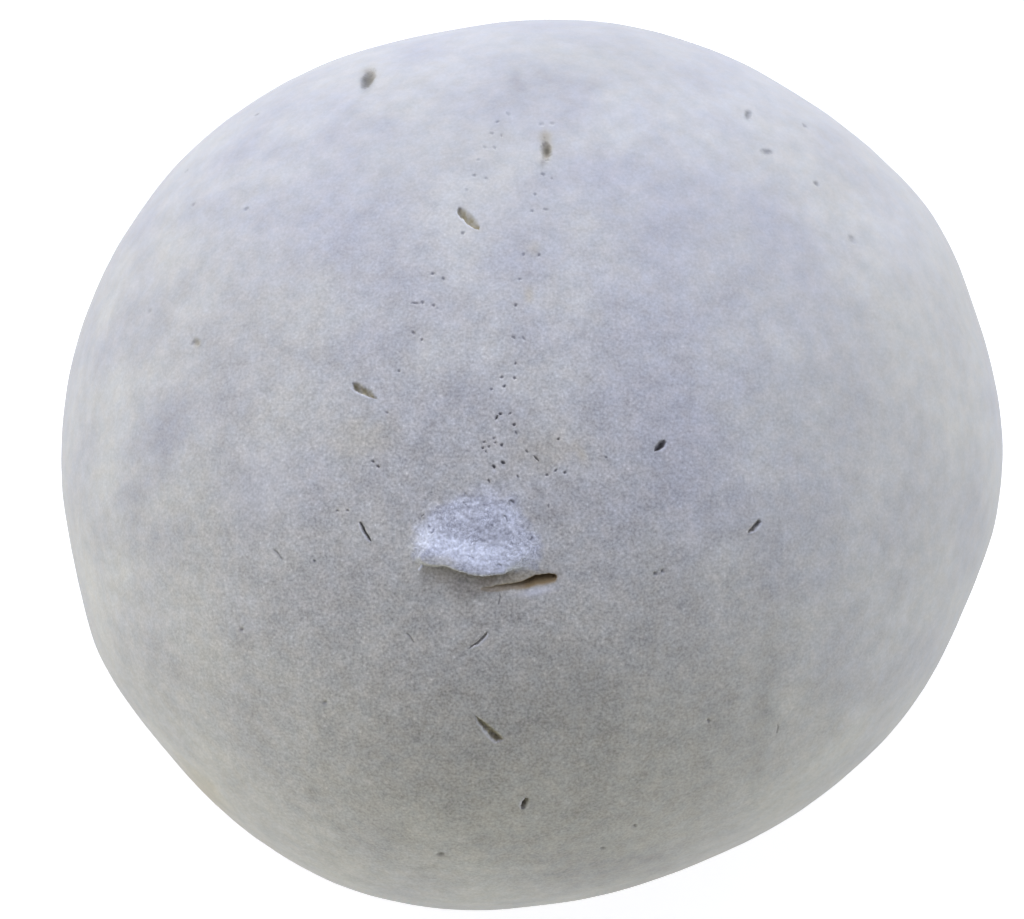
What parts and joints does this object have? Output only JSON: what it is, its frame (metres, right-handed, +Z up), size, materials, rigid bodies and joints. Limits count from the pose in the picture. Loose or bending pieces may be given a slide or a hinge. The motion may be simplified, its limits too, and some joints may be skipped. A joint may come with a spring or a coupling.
{
  "type": "fossil sea urchin",
  "caption": "Fossil sea urchin: a rounded stone cast lying mouth side up, with a plugged mouth, rows of paired pores and small slit-like pits.",
  "frame": {"origin": "middle of the outline's bounding box, on the level of the small worn flat that the fossil rests on", "axes": "+Z up, out of the side with the mouth; +Y from the mouth towards the crown, which is round the far side; +X across the long way of the outline"},
  "size_m": [0.0618, 0.0584, 0.054],
  "materials": {
    "weathered_stone": "matt, finely granular, pale bluish grey with faint ochre stains"
  },
  "bodies": {
    "root": {"urchin_mould": "weathered_stone"}
  },
  "joints": []
}
